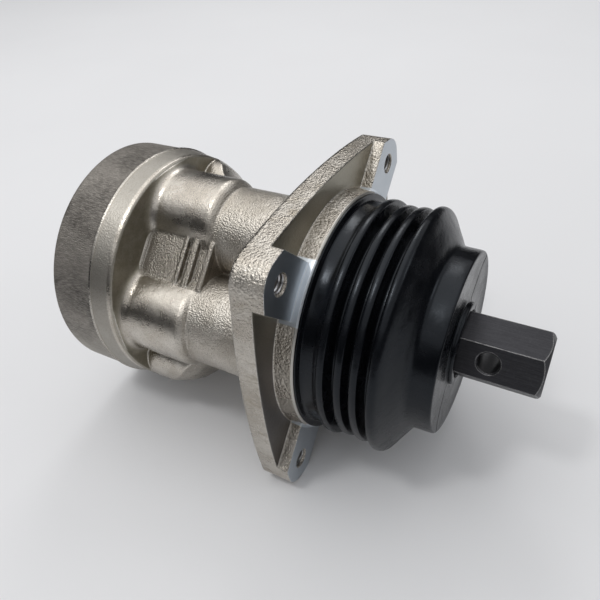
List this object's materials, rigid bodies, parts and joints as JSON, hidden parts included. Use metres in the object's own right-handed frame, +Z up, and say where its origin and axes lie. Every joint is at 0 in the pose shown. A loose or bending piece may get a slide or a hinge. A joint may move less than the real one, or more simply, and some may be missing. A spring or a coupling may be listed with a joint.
{
  "type": "hydraulic pilot joystick valve",
  "caption": "Four-way lever-operated pilot pressure valve: square-flanged cast body with lobed bores, rubber bellows boot and hexagon lever stub.",
  "frame": {"origin": "centre of the mounting flange, on the machined face of its four ear pads", "axes": "+Z up the lever at rest; the four bores lie on the X and Y axes, the ears on the diagonals"},
  "size_m": [0.1106, 0.1106, 0.1797],
  "materials": {
    "casting": "bright nickel-plated sand casting, satin and grainy, machined faces smooth",
    "machined_steel": "turned and milled steel",
    "hard_steel": "hardened and ground steel",
    "spring_steel": "oiled spring wire",
    "guide_metal": "turned bronze",
    "black_oxide": "black oxide, light worn edges",
    "boot_rubber": "moulded black rubber, satin",
    "seal_rubber": "nitrile rubber"
  },
  "bodies": {
    "housing": {"valve_body": "casting", "retaining_plate": "machined_steel", "plate_screws": "black_oxide", "guide_o_rings": "seal_rubber", "rod_seals": "seal_rubber", "lower_yoke": "machined_steel", "lower_bushes": "hard_steel", "boot": "boot_rubber", "plunger_guide_1": "guide_metal", "plunger_guide_2": "guide_metal", "plunger_guide_3": "guide_metal", "plunger_guide_4": "guide_metal", "return_spring_1": "spring_steel", "return_spring_2": "spring_steel", "return_spring_3": "spring_steel", "return_spring_4": "spring_steel", "control_spring_1": "spring_steel", "control_spring_2": "spring_steel", "control_spring_3": "spring_steel", "control_spring_4": "spring_steel"},
    "cross": {"joint_cross": "machined_steel"},
    "lever": {"upper_yoke": "machined_steel", "upper_bushes": "hard_steel", "swash_plate": "hard_steel", "lock_nut": "machined_steel", "lever_bar": "black_oxide"},
    "push_rod_1": {"plunger_1": "hard_steel", "spring_seat_1": "machined_steel"},
    "metering_1": {"spool_1": "hard_steel"},
    "push_rod_2": {"plunger_2": "hard_steel", "spring_seat_2": "machined_steel"},
    "metering_2": {"spool_2": "hard_steel"},
    "push_rod_3": {"plunger_3": "hard_steel", "spring_seat_3": "machined_steel"},
    "metering_3": {"spool_3": "hard_steel"},
    "push_rod_4": {"plunger_4": "hard_steel", "spring_seat_4": "machined_steel"},
    "metering_4": {"spool_4": "hard_steel"}
  },
  "joints": [
    {"name": "tilt_about_x", "type": "hinge", "parent": "housing", "child": "cross", "pos_m": [0, 0, 0.013], "axis": [1, 0, 0], "range_deg": [-15, 15], "stiffness_Nm_per_rad": 3, "deforming": ["boot"]},
    {"name": "tilt_about_y", "type": "hinge", "parent": "cross", "child": "lever", "pos_m": [0, 0, 0.013], "axis": [0, 1, 0], "range_deg": [-15, 15], "stiffness_Nm_per_rad": 3, "deforming": ["boot"]},
    {"name": "rod_stroke_1", "type": "slide", "parent": "housing", "child": "push_rod_1", "axis": [0, 0, 1], "range_m": [-0.0068, 0.0068], "deforming": ["return_spring_1", "control_spring_1"]},
    {"name": "spool_stroke_1", "type": "slide", "parent": "housing", "child": "metering_1", "axis": [0, 0, 1], "range_m": [-0.00102, 0.00102], "deforming": ["control_spring_1"]},
    {"name": "rod_stroke_2", "type": "slide", "parent": "housing", "child": "push_rod_2", "axis": [0, 0, 1], "range_m": [-0.0068, 0.0068], "deforming": ["return_spring_2", "control_spring_2"]},
    {"name": "spool_stroke_2", "type": "slide", "parent": "housing", "child": "metering_2", "axis": [0, 0, 1], "range_m": [-0.00102, 0.00102], "deforming": ["control_spring_2"]},
    {"name": "rod_stroke_3", "type": "slide", "parent": "housing", "child": "push_rod_3", "axis": [0, 0, 1], "range_m": [-0.0068, 0.0068], "deforming": ["return_spring_3", "control_spring_3"]},
    {"name": "spool_stroke_3", "type": "slide", "parent": "housing", "child": "metering_3", "axis": [0, 0, 1], "range_m": [-0.00102, 0.00102], "deforming": ["control_spring_3"]},
    {"name": "rod_stroke_4", "type": "slide", "parent": "housing", "child": "push_rod_4", "axis": [0, 0, 1], "range_m": [-0.0068, 0.0068], "deforming": ["return_spring_4", "control_spring_4"]},
    {"name": "spool_stroke_4", "type": "slide", "parent": "housing", "child": "metering_4", "axis": [0, 0, 1], "range_m": [-0.00102, 0.00102], "deforming": ["control_spring_4"]}
  ],
  "couplings": [
    {"joint": "rod_stroke_1", "follows": "tilt_about_y", "m_per_rad": -0.0256},
    {"joint": "spool_stroke_1", "follows": "tilt_about_y", "m_per_rad": -0.00384},
    {"joint": "rod_stroke_2", "follows": "tilt_about_x", "m_per_rad": 0.0256},
    {"joint": "spool_stroke_2", "follows": "tilt_about_x", "m_per_rad": 0.00384},
    {"joint": "rod_stroke_3", "follows": "tilt_about_y", "m_per_rad": 0.0256},
    {"joint": "spool_stroke_3", "follows": "tilt_about_y", "m_per_rad": 0.00384},
    {"joint": "rod_stroke_4", "follows": "tilt_about_x", "m_per_rad": -0.0256},
    {"joint": "spool_stroke_4", "follows": "tilt_about_x", "m_per_rad": -0.00384}
  ]
}
